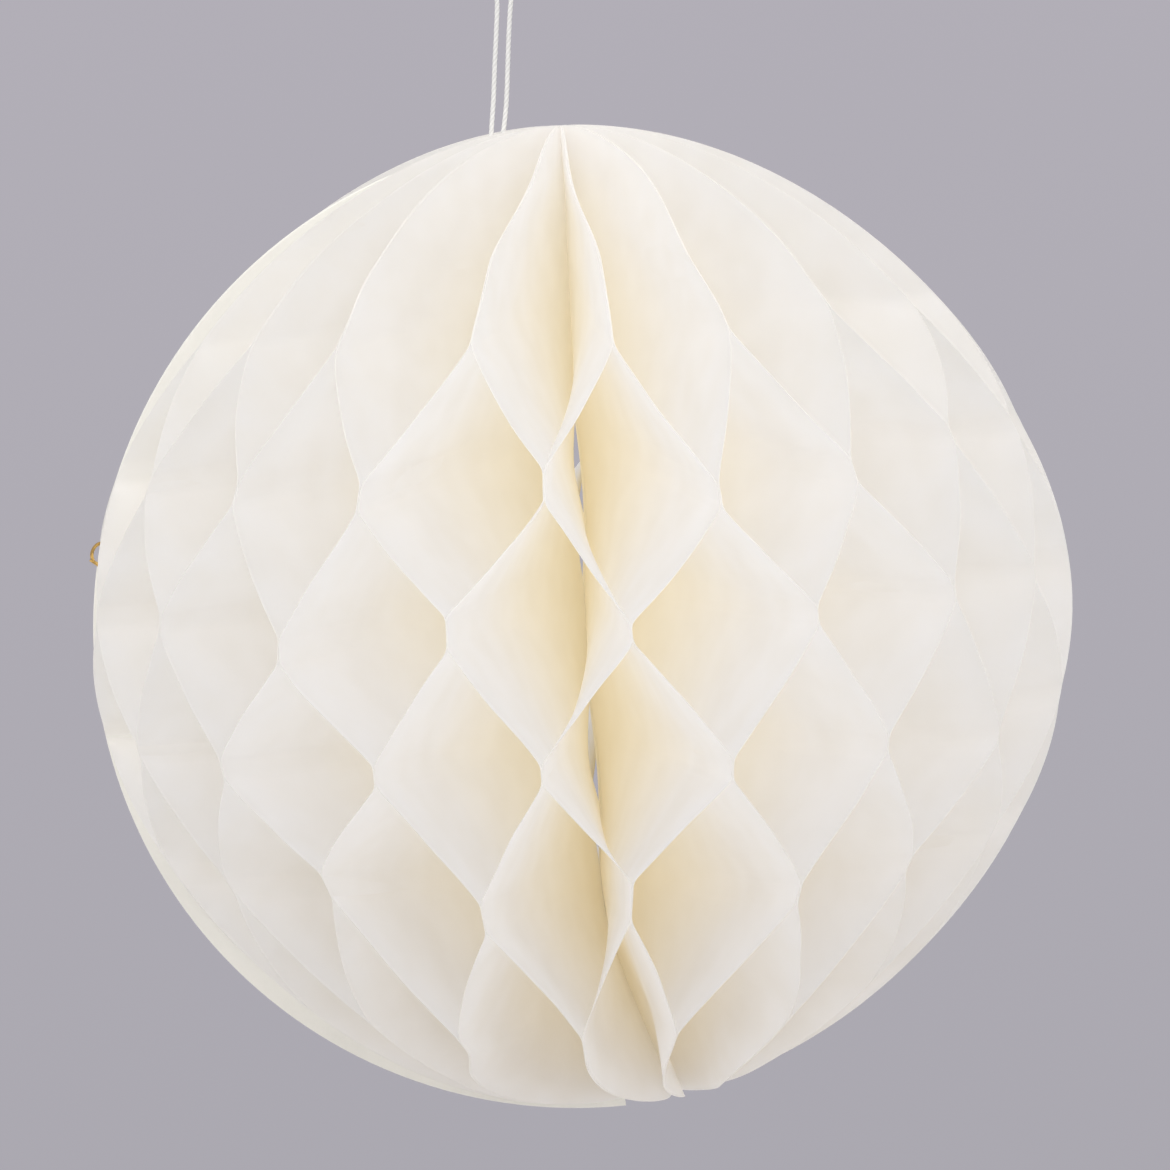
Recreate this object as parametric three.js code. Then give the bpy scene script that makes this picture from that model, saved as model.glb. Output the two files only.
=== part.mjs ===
import * as THREE from 'three';

// Honeycomb paper ball that hangs on a string, in millimetres, +Z up.
// Azimuth 0 faces -Y and grows towards +X. The origin is in the top of the string's loop.

// Paper leaves
const BALL_RADIUS = 125;
const LEAF_COUNT = 36;
const LEAF_THICKNESS = 0.25;
const GLUE_GAP = 0.25;
const CORE_RADIUS = 5;
const TIP_WIDTH = 1.5;
const ROW_PITCH = 36.5;
const MIDDLE_ROW_HEIGHT = 12;
const ROWS_ABOVE = 2;
const ROWS_BELOW = 3;
const GLUE_HEIGHT = 7;
const RIM_DRAW_IN = 0.12;
const RIM_STEP = THREE.MathUtils.degToRad(10);

// Card covers, back to back at the seam where the fan of leaves closes
const SEAM_AZIMUTH = THREE.MathUtils.degToRad(-85);
const COVER_THICKNESS = 1;
const COVER_SHIFT = 1;
const COVER_DROP = 2;
const COVER_SHORTFALL = 6.5;
const COVER_CORNER_SHARE = 0.8;
const COVER_ARC_SEGMENTS = 48;

// String, pinched between the covers
const STRING_DIAMETER = 1.2;
const STRING_CLEARANCE = 0.3;
const STRING_STEPS = 64;

// Wire clip on the covers' rim
const CLIP_LENGTH = 28;
const CLIP_WIDTH = 7;
const CLIP_WIRE_DIAMETER = 0.9;
const CLIP_PROUD = 1.8;
const CLIP_CLEARANCE = 0.25;
const CLIP_ANGLE = THREE.MathUtils.degToRad(12.4);
const CLIP_LEAN = THREE.MathUtils.degToRad(24);
const CLIP_LEG_STEP = 1.1;
const CLIP_OUTER_LEG_START = 10;
const CLIP_INNER_LEG_END = 8;
const CLIP_INNER_SHARE = 0.72;
const CLIP_CROSSING = 1.7;
const CLIP_TURN_STEPS = 8;
const CLIP_STEPS = 60;

// Worked-out sizes
const COVER_GAP = STRING_DIAMETER + 2 * STRING_CLEARANCE;
const SEAM_WIDTH = COVER_GAP + 2 * COVER_THICKNESS + GLUE_GAP;
const HALF_WEDGE = Math.PI / LEAF_COUNT;
const LEAF_CLEARANCE = (LEAF_THICKNESS + GLUE_GAP) / 2 + SEAM_WIDTH / (2 * LEAF_COUNT);
const TIP_HEIGHT = rimAt(CORE_RADIUS + TIP_WIDTH);
const COVER_CORNER = Math.acos(COVER_SHORTFALL / BALL_RADIUS);
const COVER_CORNER_LAP = COVER_CORNER_SHARE * CORE_RADIUS - COVER_SHIFT;
const COVER_TILT = Math.acos(-COVER_CORNER_LAP / BALL_RADIUS) - COVER_CORNER;

// The string's route in the plane of the seam: distance from the axis towards the rim, and height
const STRING_ROUTE = [
  [23.6, 90], [22.6, 98], [21, 107], [18.8, 116], [16.9, 122], [16.2, 127],
  [15.5, 133], [14.8, 141], [14, 149], [13.4, 157], [14.1, 161],
  [14.5, 164.2], [13.6, 167.5], [10.9, 169.4], [8.2, 167.5], [7.3, 164.2],
  [8.3, 160.6], [9.8, 157], [10.8, 149], [11.5, 141], [12.2, 133],
  [12.9, 127.5], [14, 122], [16, 116], [18.4, 107], [20, 98], [21, 90],
];
const LOOP_TOP = STRING_ROUTE[13];

const ivoryPaper = new THREE.MeshStandardMaterial({ color: 0xf3ecdd, roughness: 0.9, metalness: 0 });
const ivoryCard = new THREE.MeshStandardMaterial({ color: 0xf5f0e4, roughness: 0.85, metalness: 0 });
const brassWire = new THREE.MeshStandardMaterial({ color: 0xd9ae4e, roughness: 0.3, metalness: 1 });
const whiteString = new THREE.MeshStandardMaterial({ color: 0xf6f5f2, roughness: 0.85, metalness: 0 });

// The other leg of the ball's circle: height at a distance from the axis, or distance at a height
function rimAt(leg) {
  return Math.sqrt(BALL_RADIUS ** 2 - leg ** 2);
}

// Levels of the flat leaf: every edge of a glue line, with the rim between them in short chords
function leafLevels() {
  const edges = [-TIP_HEIGHT, TIP_HEIGHT];
  for (let row = -ROWS_BELOW; row <= ROWS_ABOVE; row++) {
    for (const side of [-1, 1]) {
      const edge = MIDDLE_ROW_HEIGHT + row * ROW_PITCH + side * GLUE_HEIGHT / 2;
      if (Math.abs(edge) < TIP_HEIGHT) edges.push(edge);
    }
  }
  const angles = edges.sort((a, b) => a - b).map((height) => Math.asin(height / BALL_RADIUS));
  const levels = [edges[0]];
  for (let i = 1; i < angles.length; i++) {
    const span = angles[i] - angles[i - 1];
    const count = Math.ceil(span / RIM_STEP);
    for (let step = 1; step <= count; step++) {
      levels.push(BALL_RADIUS * Math.sin(angles[i - 1] + span * step / count));
    }
  }
  return levels;
}

// Which way a leaf leans at a height: 1 and -1 along its glue lines, straight in between.
// Past the last glue lines two leaves stay together up to the tips.
function leafSwing(leaf, height) {
  const rows = (height - MIDDLE_ROW_HEIGHT) / ROW_PITCH;
  const place = THREE.MathUtils.clamp(rows, -ROWS_BELOW, ROWS_ABOVE);
  const row = Math.floor(place);
  const flat = GLUE_HEIGHT / (2 * ROW_PITCH);
  const share = THREE.MathUtils.clamp((place - row - flat) / (1 - 2 * flat), 0, 1);
  const sign = (leaf + row) % 2 === 0 ? 1 : -1;
  return sign * (1 - 2 * share);
}

// A point of the opened leaf, from its place on the flat one
function leafPoint(leaf, height, radius, face) {
  const azimuth = SEAM_AZIMUTH + (2 * leaf + 1) * HALF_WEDGE;
  const swing = leafSwing(leaf, height) * Math.max(0, HALF_WEDGE - LEAF_CLEARANCE / radius);
  const seamShift = SEAM_WIDTH * (0.5 - (leaf + 0.5) / LEAF_COUNT);
  const outward = azimuthDirection(azimuth + swing);
  const across = azimuthDirection(azimuth + swing + Math.PI / 2);
  const point = azimuthDirection(azimuth + Math.PI / 2).multiplyScalar(seamShift);
  point.addScaledVector(outward, radius);
  point.addScaledVector(across, face * LEAF_THICKNESS / 2);
  point.z = height * (1 - RIM_DRAW_IN * (radius / BALL_RADIUS) ** 2);
  return point;
}

function azimuthDirection(azimuth) {
  return new THREE.Vector3(Math.sin(azimuth), -Math.cos(azimuth), 0);
}

// One leaf: a flat half disc lofted level by level, its straight side at the core
function leafGeometry(leaf) {
  const levels = leafLevels();
  const corners = [[CORE_RADIUS, -1], [null, -1], [null, 1], [CORE_RADIUS, 1]];
  const positions = [];
  for (const height of levels) {
    for (const [radius, face] of corners) {
      positions.push(...leafPoint(leaf, height, radius ?? rimAt(height), face).toArray());
    }
  }
  const triangles = [];
  for (let level = 0; level + 1 < levels.length; level++) {
    for (let corner = 0; corner < 4; corner++) {
      const a = 4 * level + corner;
      const b = 4 * level + (corner + 1) % 4;
      // The two faces share one diagonal, so that neighbouring leaves stay parallel where they are glued
      if (corner === 2) triangles.push(a, b, a + 4, b, b + 4, a + 4);
      else triangles.push(a, b, b + 4, a, b + 4, a + 4);
    }
  }
  const top = 4 * (levels.length - 1);
  triangles.push(0, 2, 1, 0, 3, 2, top, top + 1, top + 2, top, top + 2, top + 3);
  const geometry = new THREE.BufferGeometry();
  geometry.setAttribute('position', new THREE.Float32BufferAttribute(positions, 3));
  geometry.setIndex(triangles);
  geometry.computeVertexNormals();
  return geometry;
}

// A piece of card that is a little less than a half disc
function coverGeometry() {
  const outline = new THREE.Shape();
  outline.absarc(0, 0, BALL_RADIUS, -COVER_CORNER, COVER_CORNER, false);
  outline.closePath();
  return new THREE.ExtrudeGeometry(outline, {
    depth: COVER_THICKNESS,
    bevelEnabled: false,
    curveSegments: COVER_ARC_SEGMENTS / 2,
  });
}

function wireGeometry(points, diameter, steps) {
  const section = new THREE.Shape();
  section.absarc(0, 0, diameter / 2, 0, 2 * Math.PI, false);
  return new THREE.ExtrudeGeometry(section, {
    steps,
    curveSegments: 4,
    extrudePath: new THREE.CatmullRomCurve3(points),
  });
}

// Points on a half turn of the clip, from one leg to the other
function clipTurn(centreX, fromY, toY, outward, fromZ, toZ) {
  const points = [];
  for (let i = 0; i <= CLIP_TURN_STEPS; i++) {
    const angle = Math.PI * i / CLIP_TURN_STEPS;
    const y = (fromY + toY) / 2 + (fromY - toY) / 2 * Math.cos(angle);
    const x = centreX + outward * Math.abs(fromY - toY) / 2 * Math.sin(angle);
    const cross = THREE.MathUtils.clamp(-CLIP_CROSSING * Math.cos(angle), -1, 1);
    points.push(new THREE.Vector3(x, y, (fromZ + toZ) / 2 + (toZ - fromZ) / 2 * cross));
  }
  return points;
}

// A wire clip, one loop on each cover and its end proud of the rim, which is at x = 0
function clipGeometry() {
  const side = COVER_GAP / 2 + COVER_THICKNESS + CLIP_CLEARANCE + CLIP_WIRE_DIAMETER / 2;
  const half = (CLIP_WIDTH - CLIP_WIRE_DIAMETER) / 2;
  const innerTop = half - CLIP_LEG_STEP;
  const innerBottom = CLIP_LEG_STEP - half;
  const end = CLIP_PROUD - CLIP_WIRE_DIAMETER / 2;
  const endTurn = end - (half + innerTop) / 2;
  const outerTurn = end + CLIP_WIRE_DIAMETER - CLIP_LENGTH + half;
  const innerTurn = end - CLIP_INNER_SHARE * CLIP_LENGTH + (innerTop - innerBottom) / 2;
  return wireGeometry([
    new THREE.Vector3(end - CLIP_OUTER_LEG_START, half, -side),
    ...clipTurn(outerTurn, half, -half, -1, -side, -side),
    ...clipTurn(endTurn, -half, innerTop, 1, -side, side),
    ...clipTurn(innerTurn, innerTop, innerBottom, -1, side, side),
    new THREE.Vector3(end - CLIP_INNER_LEG_END, innerBottom, side),
  ], CLIP_WIRE_DIAMETER, CLIP_STEPS);
}

function stringGeometry() {
  const points = STRING_ROUTE.map(([out, height]) => new THREE.Vector3(out, height, 0));
  return wireGeometry(points, STRING_DIAMETER, STRING_STEPS);
}

function addMesh(parent, name, geometry, material) {
  const mesh = new THREE.Mesh(geometry, material);
  mesh.name = name;
  parent.add(mesh);
  return mesh;
}

const ball = new THREE.Group();
for (let leaf = 0; leaf < LEAF_COUNT; leaf++) {
  const name = `leaf_${String(leaf + 1).padStart(2, '0')}`;
  addMesh(ball, name, leafGeometry(leaf), ivoryPaper);
}

// The seam's own plane: x from the axis to the rim, y up, z away from the viewer's side
const seam = new THREE.Group();
const seamOut = azimuthDirection(SEAM_AZIMUTH);
const seamBack = azimuthDirection(SEAM_AZIMUTH - Math.PI / 2);
const up = new THREE.Vector3(0, 0, 1);
seam.setRotationFromMatrix(new THREE.Matrix4().makeBasis(seamOut, up, seamBack));
ball.add(seam);

// The covers lean: their lower corners reach past the axis into the core, the upper ones stop short
const coverFrame = new THREE.Group();
coverFrame.position.set(-COVER_SHIFT, -COVER_DROP, 0);
seam.add(coverFrame);
const frontCover = addMesh(coverFrame, 'front_cover', coverGeometry(), ivoryCard);
frontCover.position.z = -COVER_GAP / 2 - COVER_THICKNESS;
frontCover.rotation.z = -COVER_TILT;
const backCover = addMesh(coverFrame, 'back_cover', coverGeometry(), ivoryCard);
backCover.position.z = COVER_GAP / 2;
backCover.rotation.z = -COVER_TILT;

const clip = addMesh(coverFrame, 'paper_clip', clipGeometry(), brassWire);
clip.position.set(BALL_RADIUS * Math.cos(CLIP_ANGLE), BALL_RADIUS * Math.sin(CLIP_ANGLE), 0);
clip.rotation.z = CLIP_ANGLE + CLIP_LEAN;

addMesh(seam, 'hanging_string', stringGeometry(), whiteString);

// The ball hangs below the loop
const part = new THREE.Group();
const loopTop = seamOut.clone().multiplyScalar(LOOP_TOP[0]);
ball.position.set(-loopTop.x, -loopTop.y, STRING_DIAMETER / 2 - LOOP_TOP[1]);
part.add(ball);

export default part;
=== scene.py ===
import math
import random

import bpy
from bpy.props import FloatProperty, FloatVectorProperty, IntProperty, PointerProperty
from mathutils import Matrix, Vector, noise


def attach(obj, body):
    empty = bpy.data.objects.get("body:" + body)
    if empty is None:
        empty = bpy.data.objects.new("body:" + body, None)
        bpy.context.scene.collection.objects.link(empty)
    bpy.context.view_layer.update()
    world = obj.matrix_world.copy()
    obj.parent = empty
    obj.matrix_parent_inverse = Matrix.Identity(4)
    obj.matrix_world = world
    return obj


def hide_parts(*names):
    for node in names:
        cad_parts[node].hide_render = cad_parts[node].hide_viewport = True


bl_info = {
    "name": "Honeycomb paper ball",
    "version": (1, 0, 0),
    "blender": (4, 5, 0),
    "location": "3D View > Sidebar > Paper ball",
    "description": "Dresses the frame of a hanging honeycomb paper ball: leaves, covers, clip and string",
    "category": "Object",
}

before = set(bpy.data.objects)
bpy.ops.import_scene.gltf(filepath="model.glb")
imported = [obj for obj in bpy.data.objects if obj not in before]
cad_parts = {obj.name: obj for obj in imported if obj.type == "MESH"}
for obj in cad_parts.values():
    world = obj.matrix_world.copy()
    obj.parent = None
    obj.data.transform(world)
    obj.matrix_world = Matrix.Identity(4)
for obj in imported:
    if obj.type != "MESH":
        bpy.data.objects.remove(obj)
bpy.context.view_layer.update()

# Sizes in metres. They are the solids' own, but the covers hang a little lower and their low corner
# reaches a little further. Azimuth 0 faces -Y and grows towards +X.
BALL_RADIUS = 0.125
LEAF_COUNT = 36
CORE_RADIUS = 0.005
TIP_WIDTH = 0.0015
ROW_PITCH = 0.0365
MIDDLE_ROW_HEIGHT = 0.012
ROWS_ABOVE = 2
ROWS_BELOW = 3
RIM_DRAW_IN = 0.12
SEAM_AZIMUTH = math.radians(-85)
SEAM_WIDTH = 0.00405
COVER_THICKNESS = 0.001
COVER_GAP = 0.0018
COVER_SHIFT = 0.001
COVER_DROP = 0.0026
COVER_CUT = 0.0065
COVER_PAST_AXIS = 1.06 * CORE_RADIUS
COVER_CORNER = math.acos(COVER_CUT / BALL_RADIUS)
COVER_TILT = math.acos((COVER_SHIFT - COVER_PAST_AXIS) / BALL_RADIUS) - COVER_CORNER
CLIP_LENGTH = 0.028
CLIP_WIDTH = 0.007
CLIP_PROUD = 0.0018
CLIP_CLEARANCE = 0.00025
CLIP_ANGLE = math.radians(12.4)
CLIP_LEAN = math.radians(24)
CLIP_LEG_STEP = 0.0011
CLIP_OUTER_LEG_START = 0.010
CLIP_INNER_LEG_END = 0.008
CLIP_INNER_SHARE = 0.72
CLIP_CROSSING = 1.7
HALF_WEDGE = math.pi / LEAF_COUNT
TIP_HEIGHT = math.sqrt(BALL_RADIUS ** 2 - (CORE_RADIUS + TIP_WIDTH) ** 2)

# The string's route in the plane of the seam: distance from the axis towards the rim, and height
STRING_ROUTE = [
    (.0236, .090), (.0226, .098), (.021, .107), (.0188, .116), (.0169, .122), (.0162, .127),
    (.0155, .133), (.0148, .141), (.014, .149), (.0134, .157), (.0141, .161),
    (.0145, .1642), (.0136, .1675), (.0109, .1694), (.0082, .1675), (.0073, .1642),
    (.0083, .1606), (.0098, .157), (.0108, .149), (.0115, .141), (.0122, .133),
    (.0129, .1275), (.014, .122), (.016, .116), (.0184, .107), (.020, .098), (.021, .090),
]
STRING_DIAMETER = 0.0012
LOOP_TOP = max(STRING_ROUTE, key=lambda knot: knot[1])

# Glue lines that the hand-opened fan holds off its even grid, by interface and row: degrees aside, and
# lift and length in millimetres. Interface 8 faces the viewer, and row 0 is the row above the middle.
GLUE_LINES = {
    (5, 2): (-1.5, 0, 6), (7, 2): (0.5, 0.5, 6), (9, 2): (1, -1, 6), (11, 2): (-1.5, 1, 6),
    (13, 2): (-3, 3.5, 5),
    (6, 1): (-1.5, 0, 7), (8, 1): (1, 1.5, 8.5), (10, 1): (1.5, -3, 6), (14, 1): (-3, 5, 5),
    (16, 1): (-3, 2.5, 5),
    (3, 0): (0, 2, 5), (5, 0): (-0.5, -2.5, 7), (7, 0): (0, 2, 9), (9, 0): (0, 0.5, 5),
    (11, 0): (1, 1, 5), (13, 0): (0.5, 2, 5), (15, 0): (-2, 1.5, 5),
    (2, -1): (1, 0.5, 5), (4, -1): (-1, 0, 6), (6, -1): (0.5, 0.5, 6), (8, -1): (-0.5, 0.5, 5.5),
    (10, -1): (0.5, -1, 6), (12, -1): (0, 0.5, 5), (14, -1): (-1, -3, 5),
    (3, -2): (0, 1.5, 6), (5, -2): (-1.5, 5, 7), (7, -2): (0.5, -2, 9), (9, -2): (-1, 1, 11),
    (11, -2): (1, -1, 6), (13, -2): (-1, 1.5, 5), (15, -2): (-1, 1.5, 5),
    (6, -3): (-1, -4, 5), (8, -3): (1, -2.5, 4), (10, -3): (-2.5, -3, 4), (12, -3): (-1, -3.5, 5),
}

# How far the loose ends of glued pairs turn aside, by interface: degrees near the last glue line and
# at the tip
UPPER_TIPS = {7: (0.5, 6), 9: (0, -4)}
LOWER_TIPS = {6: (-7, -11), 8: (0, 0), 10: (0, 0)}


def azimuth_direction(azimuth):
    """The level direction at an azimuth"""
    return Vector((math.sin(azimuth), -math.cos(azimuth), 0))


SEAM_OUT = azimuth_direction(SEAM_AZIMUTH)
SEAM_BACK = azimuth_direction(SEAM_AZIMUTH - math.pi / 2)
UP = Vector((0, 0, 1))
BALL_CENTRE = Vector((0, 0, STRING_DIAMETER / 2 - LOOP_TOP[1])) - SEAM_OUT * LOOP_TOP[0]

# The camera, at the photograph's angle and with the ball's axis rolled: metres, and millimetres for the lens
CAMERA_PITCH = math.radians(6.851)
CAMERA_ROLL = math.radians(2.834)
CAMERA_DISTANCE = 1.25
CAMERA_RIGHT = 0.00107
CAMERA_RISE = 0.00798
CAMERA_SENSOR = 36
CAMERA_LENS = 150.69

# The lamps and the floor, in metres
LAMP_SIZE = 0.8
LAMP_DISTANCE = 0.8
FLOOR_REACH = 1.5


class LeafSettings(bpy.types.PropertyGroup):
    """Form and finish of the paper leaves"""
    thickness: FloatProperty(
        name="Thickness", description="Thickness of the paper", default=0.00022, unit="LENGTH")
    level_step: FloatProperty(
        name="Level step", description="Largest height of a face of a leaf", default=0.0028, unit="LENGTH")
    bands: IntProperty(name="Bands", description="Faces from the core to the rim", default=18, min=4)
    glue_height: FloatProperty(
        name="Glue height", description="Height of a glue line", default=0.006, unit="LENGTH")
    soft_fold: FloatProperty(
        name="Soft fold", description="Half height over which the paper bends beside a glue line",
        default=0.0012, unit="LENGTH")
    ease: FloatProperty(
        name="Ease", description="How much of the sway between two glue lines is an S-curve",
        default=0.05, subtype="FACTOR")
    glue_distance: FloatProperty(
        name="Glue distance", description="Between the middles of two leaves where they are glued",
        default=0.0003, unit="LENGTH")
    unevenness: FloatProperty(
        name="Unevenness", description="How far a glue line strays off the even grid",
        default=0.0012, unit="LENGTH")
    core_radius: FloatProperty(
        name="Core radius", description="From the axis to the leaves where the core is closed",
        default=0.0006, unit="LENGTH")
    core_opening: FloatProperty(
        name="Core opening", description="How much more it is where the core is open",
        default=0.0013, unit="LENGTH")
    core_spread: FloatProperty(
        name="Core spread", description="How far the leaves part at the core, in front and behind",
        default=0.0024, unit="LENGTH")
    tip_lean: FloatProperty(
        name="Tip lean", description="Slope of the core below, where the loose lower tips lean to one side",
        default=0.36)
    seed: IntProperty(name="Seed", description="Seed of the unevenness", default=7)
    # The rim colour is painted light: the paper is painted whiter near its rim, where light falls freely. The
    # core colour is a painted warm glow of light scattered between the leaves. The wall colour is the paper's
    # own ivory.
    painted_rim_light: FloatVectorProperty(
        name="Rim colour", description="Ivory of the paper at its rim", subtype="COLOR", size=3,
        default=(0.99, 0.978, 0.974))
    wall_colour: FloatVectorProperty(
        name="Wall colour", description="Ivory of the paper inside the cells", subtype="COLOR", size=3,
        default=(0.948, 0.932, 0.915))
    painted_core_glow: FloatVectorProperty(
        name="Core colour", description="Cream of the paper at the core", subtype="COLOR", size=3,
        default=(0.985, 0.922, 0.76))
    translucence: FloatProperty(
        name="Translucence", description="Share of the light that goes through",
        default=0.57, subtype="FACTOR", min=0, max=1)
    filter_colour: FloatVectorProperty(
        name="Filter colour", description="What each leaf leaves of the light that crosses it",
        subtype="COLOR", size=3, default=(0.93, 0.926, 0.918))
    haze: FloatProperty(
        name="Haze", description="Share of the scattered light that crosses a leaf straight",
        default=0.55, subtype="FACTOR", min=0, max=1)


class CoverSettings(bpy.types.PropertyGroup):
    """Finish of the card covers"""
    edge_rounding: FloatProperty(
        name="Edge rounding", description="Rounding of the cut edge", default=0.00015, unit="LENGTH")
    colour: FloatVectorProperty(
        name="Card colour", description="Ivory of the card", subtype="COLOR", size=3,
        default=(0.92, 0.90, 0.84))


class ClipSettings(bpy.types.PropertyGroup):
    """Form and finish of the wire clip"""
    wire: FloatProperty(name="Wire", description="Diameter of the wire", default=0.0009, unit="LENGTH")
    colour: FloatVectorProperty(
        name="Brass colour", description="Colour of the wire", subtype="COLOR", size=3,
        default=(0.80, 0.52, 0.16))


class StringSettings(bpy.types.PropertyGroup):
    """Form and finish of the hanging string"""
    diameter: FloatProperty(
        name="Diameter", description="Diameter of the string", default=STRING_DIAMETER, unit="LENGTH")
    lay: FloatProperty(
        name="Lay", description="Length of one turn of the twist", default=0.0045, unit="LENGTH")
    plies: IntProperty(name="Plies", description="Strands twisted into the string", default=3, min=2)
    colour: FloatVectorProperty(
        name="String colour", description="White of the cotton", subtype="COLOR", size=3,
        default=(0.92, 0.91, 0.89))


class StageSettings(bpy.types.PropertyGroup):
    """Camera, lamps and background"""
    backdrop: FloatVectorProperty(
        name="Backdrop", description="Grey behind the ball", subtype="COLOR", size=3,
        default=(0.445, 0.426, 0.474))
    backdrop_low: FloatVectorProperty(
        name="Low backdrop", description="Grey of the backdrop's lower part", subtype="COLOR", size=3,
        default=(0.407, 0.394, 0.436))
    floor: FloatVectorProperty(
        name="Floor", description="Colour of the floor", subtype="COLOR", size=3, default=(0.52, 0.51, 0.53))
    floor_drop: FloatProperty(
        name="Floor drop", description="From the ball's centre to the floor", default=0.6, unit="LENGTH")
    ambient_above: FloatProperty(
        name="Ambient above", description="Level of the light from overhead", default=1.24)
    ambient_front: FloatProperty(
        name="Ambient front", description="Level of the light from the camera's side", default=0.78)
    left: FloatProperty(
        name="Left lamp", description="Power of the left lamp", default=0.98, unit="POWER")
    right: FloatProperty(
        name="Right lamp", description="Power of the right lamp", default=0.68, unit="POWER")
    swing: FloatProperty(
        name="Lamp swing", description="How far the left and right lamps stand off the camera's side",
        default=math.radians(60), subtype="ANGLE")
    rise: FloatProperty(
        name="Lamp rise", description="How high the left and right lamps stand above the ball",
        default=math.radians(20), subtype="ANGLE")


class Nodes:
    """Adds nodes to a tree and links them by socket name"""

    def __init__(self, tree):
        self.tree = tree
        tree.nodes.clear()

    def feed(self, socket, value):
        """Link a socket, or set its value"""
        if isinstance(value, bpy.types.NodeSocket):
            self.tree.links.new(value, socket)
        else:
            socket.default_value = value

    def add(self, kind, inputs=None, **values):
        """A new node with its values set and its inputs fed"""
        node = self.tree.nodes.new(kind)
        for name, value in values.items():
            setattr(node, name, value)
        for name, value in (inputs or {}).items():
            self.feed(node.inputs[name], value)
        return node

    def math(self, operation, a, b=0.0, clamp=False):
        """The result of a sum on two values"""
        return self.add("ShaderNodeMath", {0: a, 1: b}, operation=operation, use_clamp=clamp).outputs[0]

    def mix(self, factor, a, b, blend="MIX"):
        """The mix of two colours"""
        node = self.add("ShaderNodeMix", data_type="RGBA", blend_type=blend)
        for name, value in (("Factor_Float", factor), ("A_Color", a), ("B_Color", b)):
            self.feed(next(s for s in node.inputs if s.identifier == name), value)
        return next(s for s in node.outputs if s.identifier == "Result_Color")

    def span(self, value, low, high, to_low=0.0, to_high=1.0):
        """A value carried from one range to another, and held at its ends"""
        return self.add("ShaderNodeMapRange", {
            "Value": value, "From Min": low, "From Max": high, "To Min": to_low, "To Max": to_high,
        }).outputs[0]


def rgba(colour):
    """A colour with full alpha"""
    return (*colour, 1.0)


def paper_fibres():
    """The node group that paper and card share: fibres, cloudy formation, specks and a height for the bump"""
    name = "paper fibres"
    if name in bpy.data.node_groups:
        return bpy.data.node_groups[name]
    group = bpy.data.node_groups.new(name, "ShaderNodeTree")
    face = group.interface
    face.new_socket("Place", in_out="INPUT", socket_type="NodeSocketVector")
    face.new_socket("Fibre Scale", in_out="INPUT", socket_type="NodeSocketFloat").default_value = 900
    face.new_socket("Cloud Scale", in_out="INPUT", socket_type="NodeSocketFloat").default_value = 60
    for output in ("Fibre", "Cloud", "Speck", "Height"):
        face.new_socket(output, in_out="OUTPUT", socket_type="NodeSocketFloat")
    made = Nodes(group)
    given = made.add("NodeGroupInput")
    stretched = made.add("ShaderNodeMapping", {"Vector": given.outputs["Place"], "Scale": (1.0, 0.35, 1.0)})
    fibre = made.add("ShaderNodeTexNoise", {
        "Vector": stretched.outputs[0], "Scale": given.outputs["Fibre Scale"],
        "Detail": 2.0, "Roughness": 0.65,
    })
    cloud = made.add("ShaderNodeTexNoise", {
        "Vector": given.outputs["Place"], "Scale": given.outputs["Cloud Scale"],
        "Detail": 1.0, "Roughness": 0.55,
    })
    speck_scale, speck_share, speck_size = 75.0, 0.95, (0.012, 0.022)
    dots = made.add("ShaderNodeTexVoronoi", {
        "Vector": given.outputs["Place"], "Scale": speck_scale, "Randomness": 1.0})
    pick = made.add("ShaderNodeSeparateColor", {"Color": dots.outputs["Color"]})
    chosen = made.math("GREATER_THAN", pick.outputs[0], speck_share)
    near = made.span(dots.outputs["Distance"], *speck_size, 1.0, 0.0)
    speck = made.math("MULTIPLY", chosen, near)
    fibre_height = made.math("MULTIPLY", fibre.outputs[0], 0.6)
    cloud_height = made.math("MULTIPLY", cloud.outputs[0], 0.4)
    noise_range = (0.3, 0.7)
    made.add("NodeGroupOutput", {
        "Fibre": made.span(fibre.outputs[0], *noise_range), "Cloud": made.span(cloud.outputs[0], *noise_range),
        "Speck": speck, "Height": made.math("ADD", fibre_height, cloud_height),
    })
    return group


def place_fibres(made, vector, fibre_scale, cloud_scale):
    """The shared group, placed in a material with its own scales"""
    return made.add("ShaderNodeGroup", {
        "Place": vector, "Fibre Scale": fibre_scale, "Cloud Scale": cloud_scale,
    }, node_tree=paper_fibres())


def new_material(name):
    """An empty material and its nodes"""
    material = bpy.data.materials.new(name)
    material.use_nodes = True
    return material, Nodes(material.node_tree)


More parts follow.
